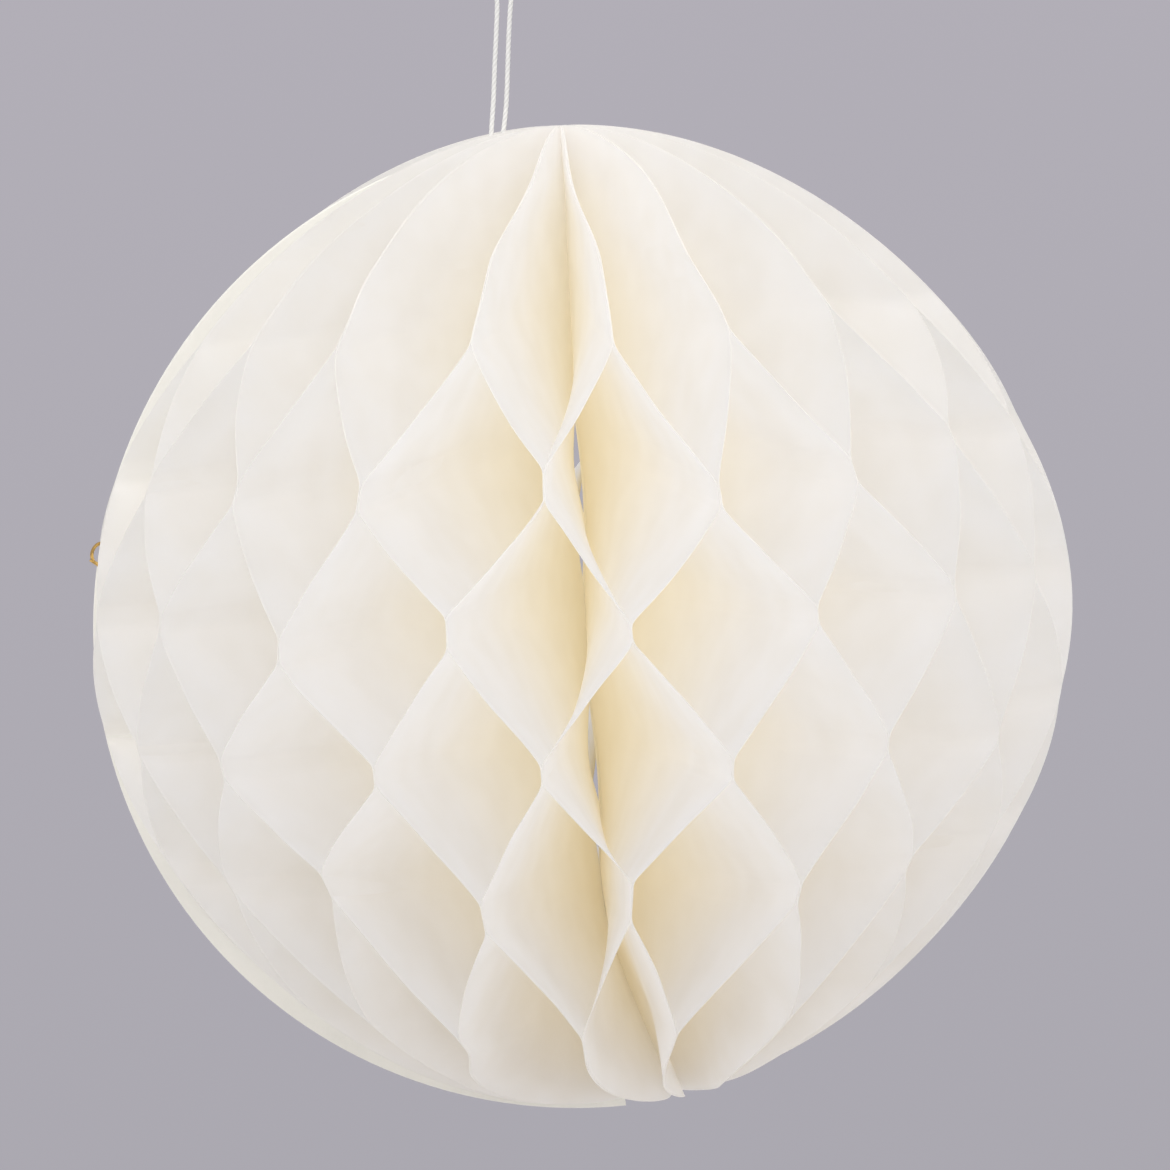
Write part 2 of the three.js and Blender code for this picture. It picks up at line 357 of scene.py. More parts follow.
def ivory_paper(look):
    """Thin translucent paper with fibres and a few specks, whose colour holds painted light: whiter near the
    rim, a painted warm glow of light scattered between the leaves towards the core, and painted shade, darker
    and creamier, low in the cells.
    Scattered light meets the same sheet without its fibres. Shadow rays, and a share of the scattered light,
    cross a sheet and take on its filter colour."""
    # Painted light by depth from the rim: whitest within 2 mm of the rim, fading to the paper's ivory by 26 mm,
    # then a painted warm glow of scattered light from 30 mm to 118 mm towards the core.
    wall_band, core_band = (0.002, 0.026), (0.03, 0.118)
    painted_low_shade, cloud_tint = (0.94, 0.92, 0.885, 1), (0.93, 0.91, 0.86, 1)
    fibre_tint, speck_colour = (0.97, 0.95, 0.90, 1), (0.22, 0.20, 0.20, 1)
    cloud_share, fibre_share, speck_share = 0.35, 0.12, 0.75
    material, made = new_material("ivory paper")
    place = made.add("ShaderNodeAttribute", attribute_name="sheet_place")
    depth = made.add("ShaderNodeAttribute", attribute_name="rim_depth").outputs["Fac"]
    fibres = place_fibres(made, place.outputs["Vector"], fibre_scale=1400.0, cloud_scale=90.0).outputs
    wall = made.mix(made.span(depth, *wall_band), rgba(look.painted_rim_light), rgba(look.wall_colour))
    deep = made.mix(made.span(depth, *core_band), wall, rgba(look.painted_core_glow))
    # Painted shade: the paper is painted darker and creamier low in the cells, away from the rim.
    low = made.add("ShaderNodeAttribute", attribute_name="low_depth").outputs["Fac"]
    painted_light_and_shade = made.mix(low, deep, painted_low_shade, "MULTIPLY")
    clouded = made.mix(made.math("MULTIPLY", fibres["Cloud"], cloud_share), painted_light_and_shade, cloud_tint, "MULTIPLY")
    fibred = made.mix(made.math("MULTIPLY", fibres["Fibre"], fibre_share), clouded, fibre_tint)
    colour = made.mix(made.math("MULTIPLY", fibres["Speck"], speck_share), fibred, speck_colour)
    roughness = made.span(fibres["Fibre"], 0.0, 1.0, 0.82, 0.95)
    bump = made.add("ShaderNodeBump", {"Strength": 0.12, "Distance": 0.0001, "Height": fibres["Height"]})
    path = made.add("ShaderNodeLightPath")
    face = made.add("ShaderNodeBsdfPrincipled", {
        "Base Color": colour, "Roughness": roughness, "Normal": bump.outputs[0], "Specular IOR Level": 0.15,
    })
    through = made.add("ShaderNodeBsdfTranslucent", {"Color": colour, "Normal": bump.outputs[0]})
    seen = made.add("ShaderNodeMixShader", {0: look.translucence, 1: face.outputs[0], 2: through.outputs[0]})
    plain_face = made.add("ShaderNodeBsdfDiffuse", {"Color": painted_light_and_shade})
    plain_through = made.add("ShaderNodeBsdfTranslucent", {"Color": painted_light_and_shade})
    plain = made.add("ShaderNodeMixShader", {
        0: look.translucence, 1: plain_face.outputs[0], 2: plain_through.outputs[0]})
    sheet = made.add("ShaderNodeMixShader", {
        0: path.outputs["Is Camera Ray"], 1: plain.outputs[0], 2: seen.outputs[0]})
    scattered = made.math("MULTIPLY", path.outputs["Is Diffuse Ray"], look.haze)
    share = made.math("MAXIMUM", path.outputs["Is Shadow Ray"], scattered)
    clear = made.add("ShaderNodeBsdfTransparent", {"Color": rgba(look.filter_colour)})
    surface = made.add("ShaderNodeMixShader", {0: share, 1: sheet.outputs[0], 2: clear.outputs[0]})
    made.add("ShaderNodeOutputMaterial", {"Surface": surface.outputs[0]})
    return material


def ivory_card(look):
    """Matt card with cloudy formation, fibres and specks"""
    fibre_tint, speck_colour = (0.95, 0.93, 0.88, 1), (0.3, 0.28, 0.26, 1)
    fibre_share, speck_share = 0.3, 0.6
    material, made = new_material("ivory card")
    place = made.add("ShaderNodeTexCoord")
    fibres = place_fibres(made, place.outputs["Object"], fibre_scale=700.0, cloud_scale=45.0).outputs
    dull = Vector(look.colour) * 0.95
    clouded = made.mix(fibres["Cloud"], rgba(look.colour), rgba(dull))
    fibred = made.mix(made.math("MULTIPLY", fibres["Fibre"], fibre_share), clouded, fibre_tint)
    colour = made.mix(made.math("MULTIPLY", fibres["Speck"], speck_share), fibred, speck_colour)
    roughness = made.span(fibres["Fibre"], 0.0, 1.0, 0.75, 0.92)
    bump = made.add("ShaderNodeBump", {"Strength": 0.2, "Distance": 0.0002, "Height": fibres["Height"]})
    face = made.add("ShaderNodeBsdfPrincipled", {
        "Base Color": colour, "Roughness": roughness, "Normal": bump.outputs[0], "Specular IOR Level": 0.2,
    })
    made.add("ShaderNodeOutputMaterial", {"Surface": face.outputs[0]})
    return material


def brass_wire(look):
    """Bright drawn wire with fine lines along it and a little tarnish"""
    material, made = new_material("brass wire")
    along = made.add("ShaderNodeAttribute", attribute_name="along_wire")
    drawn = made.add("ShaderNodeMapping", {"Vector": along.outputs["Vector"], "Scale": (60.0, 3000.0, 1.0)})
    lines = made.add("ShaderNodeTexNoise", {"Vector": drawn.outputs[0], "Scale": 1.0, "Detail": 3.0})
    tarnish = made.add("ShaderNodeTexNoise", {
        "Vector": along.outputs["Vector"], "Scale": 220.0, "Detail": 4.0})
    dark = Vector(look.colour) * 0.7
    colour = made.mix(made.span(tarnish.outputs[0], 0.52, 0.72, 0.0, 0.6), rgba(look.colour), rgba(dark))
    roughness = made.span(lines.outputs[0], 0.3, 0.7, 0.18, 0.38)
    bump = made.add("ShaderNodeBump", {"Strength": 0.1, "Distance": 0.00005, "Height": lines.outputs[0]})
    face = made.add("ShaderNodeBsdfPrincipled", {
        "Base Color": colour, "Metallic": 1.0, "Roughness": roughness, "Normal": bump.outputs[0],
    })
    made.add("ShaderNodeOutputMaterial", {"Surface": face.outputs[0]})
    return material


def white_cotton(look):
    """Twisted cotton with fine fibres, and painted shade that makes it darker in the grooves between the plies
    """
    material, made = new_material("white cotton")
    along = made.add("ShaderNodeAttribute", attribute_name="along_wire")
    groove = made.add("ShaderNodeAttribute", attribute_name="groove")
    spun = made.add("ShaderNodeMapping", {"Vector": along.outputs["Vector"], "Scale": (900.0, 4000.0, 1.0)})
    fibre = made.add("ShaderNodeTexNoise", {
        "Vector": spun.outputs[0], "Scale": 1.0, "Detail": 4.0, "Roughness": 0.6})
    fibre_tint = (0.97, 0.96, 0.94, 1)
    # Painted shade: the grooves between the plies are painted darker.
    shade = Vector(look.colour) * 0.72
    plies = made.mix(made.math("MULTIPLY", groove.outputs["Fac"], 0.8), rgba(look.colour), rgba(shade))
    colour = made.mix(made.span(fibre.outputs[0], 0.35, 0.65, 0.0, 0.25), plies, fibre_tint)
    roughness = made.span(fibre.outputs[0], 0.3, 0.7, 0.8, 0.95)
    bump = made.add("ShaderNodeBump", {"Strength": 0.35, "Distance": 0.0001, "Height": fibre.outputs[0]})
    face = made.add("ShaderNodeBsdfPrincipled", {
        "Base Color": colour, "Roughness": roughness, "Normal": bump.outputs[0], "Specular IOR Level": 0.2,
        "Sheen Weight": 0.3, "Sheen Roughness": 0.5,
    })
    made.add("ShaderNodeOutputMaterial", {"Surface": face.outputs[0]})
    return material


def add_piece(name, points, faces, material, slot, *nodes):
    """A mesh object in the row frame that rides on the ball and stands for the named nodes"""
    mesh = bpy.data.meshes.new(name)
    mesh.from_pydata(points, [], faces)
    mesh.polygons.foreach_set("use_smooth", [True] * len(mesh.polygons))
    mesh.materials.append(material)
    mesh.update()
    piece = bpy.data.objects.new(name, mesh)
    bpy.context.scene.collection.objects.link(piece)
    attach(piece, "root")
    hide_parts(*nodes)
    return piece


def set_attribute(piece, name, kind, values):
    """Give each point of a piece a number or a vector that its material reads"""
    layer = piece.data.attributes.new(name, kind, "POINT")
    if kind == "FLOAT":
        layer.data.foreach_set("value", values)
    else:
        layer.data.foreach_set("vector", [x for value in values for x in value])


def rounded_route(points, step):
    """Points about a step apart on a smooth curve through the given ones"""
    knots = [points[0] * 2 - points[1], *points, points[-1] * 2 - points[-2]]
    route = []
    for a, b, c, d in zip(knots, knots[1:], knots[2:], knots[3:]):
        count = max(1, round((c - b).length / step))
        for i in range(count):
            t = i / count
            route.append(0.5 * (2 * b + (c - a) * t + (2 * a - 5 * b + 4 * c - d) * t ** 2
                                + (3 * b - a - 3 * c + d) * t ** 3))
    route.append(points[-1].copy())
    return route


def tube(route, sides, radius_at):
    """Points and faces of a closed tube along a route, with (distance along, share round) for each point"""
    points, faces, places = [], [], []
    across = (route[1] - route[0]).orthogonal().normalized()
    travelled = 0.0
    for i, centre in enumerate(route):
        ahead = (route[min(i + 1, len(route) - 1)] - route[max(i - 1, 0)]).normalized()
        across = (across - ahead * across.dot(ahead)).normalized()
        beside = ahead.cross(across)
        if i:
            travelled += (centre - route[i - 1]).length
        for side in range(sides):
            angle = 2 * math.pi * side / sides
            spoke = across * math.cos(angle) + beside * math.sin(angle)
            points.append(centre + spoke * radius_at(travelled, angle))
            places.append((travelled, side / sides, 0.0))
    for i in range(len(route) - 1):
        for side in range(sides):
            a, b = i * sides + side, i * sides + (side + 1) % sides
            faces.append((a, b, b + sides, a + sides))
    faces.append(tuple(range(sides - 1, -1, -1)))
    last = (len(route) - 1) * sides
    faces.append(tuple(range(last, last + sides)))
    return points, faces, places


def unrolled(places, diameter):
    """A tube's places laid flat in metres: along it and round it"""
    girth = 3.1
    return [(along, share * diameter * girth, 0.0) for along, share, _ in places]


def seam_point(out, height, back=0.0):
    """A point beside the seam: out from the axis, up, and back from the seam's plane"""
    return BALL_CENTRE + SEAM_OUT * out + UP * height + SEAM_BACK * back


def smooth(t):
    """An S-curve from 0 to 1"""
    t = min(1.0, max(0.0, t))
    return t * t * (3 - 2 * t)


def mixed(a, b, t):
    """From a to b"""
    return a + (b - a) * t


class Fan:
    """Where the opened paper is: the places of the glue lines, and any point of any leaf"""
    # The most that a seeded glue line is longer or shorter, in metres, and its loose ends turn, in degrees
    LENGTH_SWING = 0.0015
    NEAR_SWING = 1.5
    TIP_SWING = 4
    # Heights from which the loose ends turn aside, and over how much they do: first near, then at the tip
    UPPER_TURN_FROM = 0.085
    LOWER_TURN_FROM = 0.0975
    NEAR_TURN_OVER = 0.014
    TIP_TURN_OVER = 0.02
    # The core parts between every other pair of rows, from one place in the rows to another
    PARTED_BIAS = 0.36
    PARTED_MOST = 1.36
    PARTED_ROWS = (-2.3, 1.3)
    # It parts most in front and behind, less to the sides, not at the seam, and little away from the axis
    SPREAD_TURN = math.radians(3)
    SPREAD_FADE = math.radians(40)
    SPREAD_OFF_SEAM = math.radians(40)
    SPREAD_REACH = 0.022
    # Below this depth the core stays a little open, for the covers' corner
    LOW_CORE_SHARE = 0.25
    LOW_CORE_FROM = 0.04
    LOW_CORE_OVER = 0.03
    # The loose tips lean below this depth, softly, as far out from the axis as the side asks
    LEAN_FROM = 0.080
    LEAN_SOFTNESS = 0.012
    LEAN_REACH_RIGHT = 0.060
    LEAN_REACH_LEFT = 0.026
    LEAN_REACH_FRONT = 0.072
    LEAN_WHOLE = 0.012
    LEAN_LIFT = 0.06
    LEAN_OFF_SEAM = math.radians(45)
    LEAN_OVER = math.radians(35)

    def __init__(self, form):
        self.form = form
        self.clearance = form.glue_distance / 2 + SEAM_WIDTH / (2 * LEAF_COUNT)
        self.lines, self.upper, self.lower = {}, {}, {}
        dice = random.Random(form.seed)
        for interface in range(LEAF_COUNT + 1):
            free = 0.0 if interface in (0, LEAF_COUNT) else 1.0
            for row in range(-ROWS_BELOW, ROWS_ABOVE + 2):
                sway, lift, length = (free * dice.uniform(-1, 1) for _ in range(3))
                line = (math.degrees(form.unevenness * sway / BALL_RADIUS), form.unevenness * lift * 1000,
                        (form.glue_height + self.LENGTH_SWING * length) * 1000)
                degrees, millimetres, length = GLUE_LINES.get((interface, row), line)
                self.lines[interface, row] = (math.radians(degrees), millimetres / 1000, length / 1000)
            for tips, known in ((self.upper, UPPER_TIPS), (self.lower, LOWER_TIPS)):
                turns = [free * dice.uniform(-swing, swing) for swing in (self.NEAR_SWING, self.TIP_SWING)]
                tips[interface] = [math.radians(turn) for turn in known.get(interface, turns)]

    def interface(self, leaf, row):
        """(side, interface) of the glue line that holds a leaf at a row"""
        side = 1 if (leaf + row) % 2 == 0 else -1
        return side, leaf + (side + 1) // 2

    def node(self, leaf, row):
        """(side, azimuth, lift, length) of the glue line that holds a leaf at a row"""
        side, interface = self.interface(leaf, row)
        sway, lift, length = self.lines[interface, row]
        return side, side * HALF_WEDGE + sway, lift, length

    def hard_fold(self, leaf, height):
        """(side, azimuth, lift) of a leaf at a flat height: hard folds, and none past the last glue lines"""
        place = min(ROWS_ABOVE, max(-ROWS_BELOW, (height - MIDDLE_ROW_HEIGHT) / ROW_PITCH))
        row = math.floor(place)
        low, high = self.node(leaf, row), self.node(leaf, row + 1)
        start, stop = low[3] / (2 * ROW_PITCH), 1 - high[3] / (2 * ROW_PITCH)
        t = min(1.0, max(0.0, (place - row - start) / (stop - start)))
        t = mixed(t, smooth(t), self.form.ease)
        return tuple(mixed(a, b, t) for a, b in zip(low[:3], high[:3]))

    def fold(self, leaf, height):
        """The same with the folds rounded, as paper bends, and the loose tips turned aside"""
        taps = [self.hard_fold(leaf, height + self.form.soft_fold * step / 3) for step in range(-3, 4)]
        side, azimuth, lift = (sum(values) / len(taps) for values in zip(*taps))
        for row, tips, past in ((ROWS_ABOVE, self.upper, height - self.UPPER_TURN_FROM),
                                (-ROWS_BELOW, self.lower, -height - self.LOWER_TURN_FROM)):
            near, tip = tips[self.interface(leaf, row)[1]]
            further = smooth((past - self.NEAR_TURN_OVER) / self.TIP_TURN_OVER)
            azimuth += near * smooth(past / self.NEAR_TURN_OVER) + (tip - near) * further
        return side, azimuth, lift

    def point(self, leaf, height, radius, fold):
        """A point of the opened leaf, and the direction across its face"""
        side, azimuth, lift = fold
        share = radius / BALL_RADIUS
        middle = SEAM_AZIMUTH + (2 * leaf + 1) * HALF_WEDGE
        turn = middle + azimuth - side * min(self.clearance / radius, HALF_WEDGE)
        turn += self.spread(middle + azimuth, height) * math.exp(-radius / self.SPREAD_REACH) / radius
        seam_shift = SEAM_WIDTH * (0.5 - (leaf + 0.5) / LEAF_COUNT)
        across = azimuth_direction(turn + math.pi / 2)
        point = BALL_CENTRE + azimuth_direction(middle + math.pi / 2) * seam_shift
        point += azimuth_direction(turn) * radius
        point.z += height * (1 - RIM_DRAW_IN * share ** 2) + lift * smooth(share)
        point += self.lean(leaf, height, radius, azimuth_direction(turn).x * radius)
        return point, across

    def parted(self, height):
        """How far open the core is at a height: between every other pair of rows"""
        place = (height - MIDDLE_ROW_HEIGHT) / ROW_PITCH
        lowest, highest = self.PARTED_ROWS
        if not lowest < place < highest:
            return 0.0
        return max(0.0, (self.PARTED_BIAS + math.cos(math.pi * (place - 0.5))) / self.PARTED_MOST)

    def spread(self, azimuth, height):
        """How far a leaf moves aside at the core, where the fan parts in front and behind"""
        aside = 0.0
        for centre in (0, math.pi):
            away = (azimuth - centre + math.pi) % (2 * math.pi) - math.pi
            aside += math.tanh(away / self.SPREAD_TURN) * math.exp(-abs(away) / self.SPREAD_FADE)
        seam = (azimuth - SEAM_AZIMUTH + math.pi) % (2 * math.pi) - math.pi
        return self.form.core_spread * aside * self.parted(height) * smooth(abs(seam) / self.SPREAD_OFF_SEAM)

    def core(self, height):
        """From the axis to a leaf's inner edge: little, but more at the slits and low down"""
        low = self.LOW_CORE_SHARE * smooth((-height - self.LOW_CORE_FROM) / self.LOW_CORE_OVER)
        return self.form.core_radius + self.form.core_opening * max(self.parted(height), low)

    def lean(self, leaf, height, radius, right):
        """The loose lower tips lean to +X, past the covers' corner, and those next to the covers stay"""
        below = -height - self.LEAN_FROM
        low = (below + math.sqrt(below ** 2 + self.LEAN_SOFTNESS ** 2)) / 2
        interface = self.interface(leaf, -ROWS_BELOW)[1]
        azimuth = SEAM_AZIMUTH + 2 * HALF_WEDGE * interface
        seam = 2 * HALF_WEDGE * min(interface, LEAF_COUNT - interface)
        beside = self.LEAN_REACH_RIGHT if math.sin(azimuth) > 0 else self.LEAN_REACH_LEFT
        reach = mixed(beside, self.LEAN_REACH_FRONT, math.cos(azimuth) ** 4)
        amount = self.form.tip_lean * low * smooth((reach - radius) / (reach - self.LEAN_WHOLE))
        lift = self.LEAN_LIFT + max(0.0, right) / BALL_RADIUS
        return Vector((1, 0, lift)) * amount * smooth((seam - self.LEAN_OFF_SEAM) / self.LEAN_OVER)


def leaf_heights(fan, leaf):
    """Flat heights of a leaf's levels: both ends of every bend, with steps between them that suit the rim"""
    form = fan.form
    ends = [-TIP_HEIGHT, TIP_HEIGHT]
    for row in range(-ROWS_BELOW, ROWS_ABOVE + 1):
        middle = MIDDLE_ROW_HEIGHT + row * ROW_PITCH
        half = fan.node(leaf, row)[3] / 2
        for side in (-1, 1):
            ends += [middle + side * (half + bend * form.soft_fold) for bend in (-1, 0, 1)]
    angles = sorted(math.asin(height / BALL_RADIUS) for height in ends)
    heights = [-TIP_HEIGHT]
    for a, b in zip(angles, angles[1:]):
        count = math.ceil((b - a) * BALL_RADIUS / form.level_step)
        heights += [BALL_RADIUS * math.sin(mixed(a, b, (i + 1) / count)) for i in range(count)]
    return heights


def leaf_mesh(fan, leaf):
    """Points and faces of one leaf, the sheet and the strip of its cut edge, and what its material reads"""
    form = fan.form
    # These place the painted shade low in the cells: from 20 mm below the centre, growing over 90 mm, depth
    # counted up to 40 % deeper, and fading in over 30 mm from the rim.
    low_from, low_over, low_deeper, low_inside = 0.02, 0.09, 0.4, 0.03
    ripple_height, ripple_radius, ripple_depth, ripple_core = 90, 25, 0.0005, 0.3
    band_power, leaf_step, ripple_step = 0.8, 0.37, 3.7
    points, places, depths, lows, faces, cut = [], [], [], [], [], []
    heights = leaf_heights(fan, leaf)
    bands = form.bands
    for height in heights:
        rim = math.sqrt(BALL_RADIUS ** 2 - height ** 2)
        low = smooth((-height - low_from) / low_over)
        fold = fan.fold(leaf, height)
        for band in range(bands + 1):
            radius = mixed(min(fan.core(height), rim), rim, (band / bands) ** band_power)
            point, across = fan.point(leaf, height, radius, fold)
            ripple = noise.noise(Vector((height * ripple_height, radius * ripple_radius, leaf * ripple_step)))
            point += across * ripple * ripple_depth * (ripple_core + radius / BALL_RADIUS)
            points.append(point)
            places.append((radius, height, leaf * leaf_step))
            # Depth from the rim drives the painted light of the paper's colour and counts deeper low down, for
            # more painted glow and shade there; low is the painted shade low in the cells.
            depths.append((rim - radius) * (1 + low_deeper * low))
            lows.append(low * smooth((rim - radius) / low_inside))
        cut.append((point, across, places[-1]))
    for level in range(len(heights) - 1):
        for band in range(bands):
            a = level * (bands + 1) + band
            faces.append((a, a + 1, a + bands + 2, a + bands + 1))
    first = len(points)
    for point, across, place in cut:
        for face in (-1, 1):
            points.append(point + across * face * form.thickness / 2)
            places.append(place)
            # The cut edge takes the rim's painted light and no painted low shade.
            depths.append(0.0)
            lows.append(0.0)
    for level in range(len(heights) - 1):
        a = first + 2 * level
        faces.append((a, a + 1, a + 3, a + 2))
    return points, faces, places, depths, lows


class PAPERBALL_OT_stage(bpy.types.Operator):
    """Set up the camera, the lamps, the backdrop and the floor"""
    bl_idname = "paperball.stage"
    bl_label = "Stage"

    def execute(self, context):
        look = context.scene.paper_ball_stage
        self.camera(context)
        self.world(context, look)
        self.floor(context, look)
        self.lamp(context, "left lamp", look.left, -look.swing, look.rise)
        self.lamp(context, "right lamp", look.right, look.swing, look.rise)
        context.scene.view_settings.view_transform = "Standard"
        context.scene.cycles.transparent_max_bounces = 14
        context.scene.cycles.diffuse_bounces = 2
        context.scene.cycles.use_light_tree = False
        return {"FINISHED"}

    def camera(self, context):
        """A camera that looks a little down at the ball"""
        pitch, roll = CAMERA_PITCH, CAMERA_ROLL
        right = Vector((math.cos(roll), -math.sin(roll) * math.sin(pitch), -math.sin(roll) * math.cos(pitch)))
        back = Vector((0, -math.cos(pitch), math.sin(pitch)))
        over = back.cross(right)
        place = BALL_CENTRE + right * CAMERA_RIGHT + over * CAMERA_RISE + back * CAMERA_DISTANCE
        camera = bpy.data.objects.new("camera", bpy.data.cameras.new("camera"))
        camera.matrix_world = Matrix((
            (right.x, over.x, back.x, place.x), (right.y, over.y, back.y, place.y),
            (right.z, over.z, back.z, place.z), (0, 0, 0, 1)))
        camera.data.sensor_width = CAMERA_SENSOR
        camera.data.lens = CAMERA_LENS
        context.scene.collection.objects.link(camera)
        context.scene.camera = camera

    def world(self, context, look):
        """A soft light from overhead and from the camera's side, and a grey that only the eye and gloss see"""
        above_band, front_band, tint_band = (-0.2, 0.9), (-0.45, 0.05), (-0.24, 0.0)
        world = bpy.data.worlds.new("studio")
        world.use_nodes = True
        context.scene.world = world
        made = Nodes(world.node_tree)
        kinds = made.add("ShaderNodeLightPath").outputs
        clear = made.math("SUBTRACT", kinds["Is Transmission Ray"], kinds["Is Diffuse Ray"], clamp=True)
        seen = made.math("ADD", kinds["Is Camera Ray"], kinds["Is Glossy Ray"], clamp=True)
        seen = made.math("ADD", seen, clear, clamp=True)
        way = made.add("ShaderNodeTexCoord")
        axes = made.add("ShaderNodeSeparateXYZ", {0: way.outputs["Generated"]}).outputs
        height = axes["Z"]
        above = made.span(height, *above_band, 0.0, look.ambient_above)
        front = made.span(axes["Y"], -1.0, 0.0, look.ambient_front, 0.0)
        level = made.math("ADD", above, made.math("MULTIPLY", front, made.span(height, *front_band)))
        light = made.add("ShaderNodeBackground", {"Color": (1, 1, 1, 1), "Strength": level})
        tint = made.mix(made.span(height, *tint_band), rgba(look.backdrop_low), rgba(look.backdrop))
        grey = made.add("ShaderNodeBackground", {"Color": tint, "Strength": 1.0})
        both = made.add("ShaderNodeMixShader", {0: seen, 1: light.outputs[0], 2: grey.outputs[0]})
        made.add("ShaderNodeOutputWorld", {"Surface": both.outputs[0]})

    def floor(self, context, look):
        """A round floor well below the ball, which fades into the backdrop and isn't seen from beneath"""
        rings, sides = 12, 64
        fade_band, grain_share, grain_tint = (0.6, 1.4), 0.06, (0.5, 0.5, 0.5, 1)
        middle = BALL_CENTRE - UP * look.floor_drop
        points = [middle]
        faces = []
        for ring in range(1, rings + 1):
            for side in range(sides):
                out = azimuth_direction(2 * math.pi * side / sides)
                points.append(middle + out * FLOOR_REACH * ring / rings)
        for side in range(sides):
            faces.append((0, 1 + side, 1 + (side + 1) % sides))
        for ring in range(rings - 1):
            for side in range(sides):
                a, b = 1 + ring * sides + side, 1 + ring * sides + (side + 1) % sides
                faces.append((a, a + sides, b + sides, b))
        mesh = bpy.data.meshes.new("floor")
        mesh.from_pydata(points, [], faces)
        floor = bpy.data.objects.new("floor", mesh)
        context.scene.collection.objects.link(floor)
        material, made = new_material("floor paint")
        place = made.add("ShaderNodeNewGeometry")
        flat = made.add("ShaderNodeVectorMath", {0: place.outputs["Position"], 1: middle}, operation="DISTANCE")
        path = made.add("ShaderNodeLightPath")
        far = made.span(flat.outputs["Value"], *fade_band)
        fade = made.math("MULTIPLY", far, path.outputs["Is Camera Ray"])
        grain = made.add("ShaderNodeTexNoise", {
            "Vector": place.outputs["Position"], "Scale": 40.0, "Detail": 3.0})
        tint = made.mix(made.math("MULTIPLY", grain.outputs[0], grain_share), rgba(look.floor), grain_tint)
        paint = made.add("ShaderNodeBsdfPrincipled", {"Base Color": tint, "Roughness": 0.9})
        glow = made.add("ShaderNodeEmission", {"Color": rgba(look.backdrop_low), "Strength": 1.0})
        both = made.add("ShaderNodeMixShader", {0: fade, 1: paint.outputs[0], 2: glow.outputs[0]})
        beneath = made.math("MULTIPLY", place.outputs["Backfacing"], path.outputs["Is Camera Ray"])
        clear = made.add("ShaderNodeBsdfTransparent")
        shown = made.add("ShaderNodeMixShader", {0: beneath, 1: both.outputs[0], 2: clear.outputs[0]})
        made.add("ShaderNodeOutputMaterial", {"Surface": shown.outputs[0]})
        mesh.materials.append(material)

    def lamp(self, context, name, power, swing, rise):
        """A large round lamp that looks at the ball"""
        data = bpy.data.lights.new(name, "AREA")
        data.shape = "DISK"
        data.size = LAMP_SIZE
        data.energy = power
        lamp = bpy.data.objects.new(name, data)
        lamp.visible_camera = False
        offset = (azimuth_direction(swing) * math.cos(rise) + UP * math.sin(rise)) * LAMP_DISTANCE
        lamp.location = BALL_CENTRE + offset
        lamp.rotation_mode = "QUATERNION"
        lamp.rotation_quaternion = (-offset).to_track_quat("-Z", "Y")
        context.scene.collection.objects.link(lamp)


class PAPERBALL_OT_string(bpy.types.Operator):
    """Twist the hanging string along its route"""
    bl_idname = "paperball.string"
    bl_label = "Hanging string"

    def execute(self, context):
        form = context.scene.paper_ball_string
        groove_share, ply_share, sides, steps_a_turn = 0.86, 0.16, 24, 12
        knots = [seam_point(out, height) for out, height in STRING_ROUTE]
        route = rounded_route(knots, form.lay / steps_a_turn)

        def radius_at(travelled, angle):
            turn = form.plies * (angle - 2 * math.pi * travelled / form.lay) / 2
            return form.diameter / 2 * (groove_share + ply_share * abs(math.cos(turn)))

        points, faces, places = tube(route, sides, radius_at)
        piece = add_piece("string", points, faces, white_cotton(form), "white_string", "hanging_string")
        set_attribute(piece, "along_wire", "FLOAT_VECTOR", unrolled(places, form.diameter))
        # The groove attribute places the cotton's painted shade.
        set_attribute(piece, "groove", "FLOAT", [
            1 - (radius_at(a, 2 * math.pi * b) / form.diameter * 2 - groove_share) / ply_share
            for a, b, _ in places])
        return {"FINISHED"}


class PAPERBALL_OT_leaves(bpy.types.Operator):
    """Open the fan of paper leaves"""
    bl_idname = "paperball.leaves"
    bl_label = "Paper leaves"

    def execute(self, context):
        form = context.scene.paper_ball_leaves
        paper = ivory_paper(form)
        fan = Fan(form)
        for leaf in range(LEAF_COUNT):
            number = f"{leaf + 1:02d}"
            points, faces, places, depths, lows = leaf_mesh(fan, leaf)
            piece = add_piece("paper_leaf_" + number, points, faces, paper, "ivory_paper", "leaf_" + number)
            set_attribute(piece, "sheet_place", "FLOAT_VECTOR", places)
            # rim_depth and low_depth carry the painted light and painted shade of the paper's colour.
            set_attribute(piece, "rim_depth", "FLOAT", depths)
            set_attribute(piece, "low_depth", "FLOAT", lows)
        return {"FINISHED"}


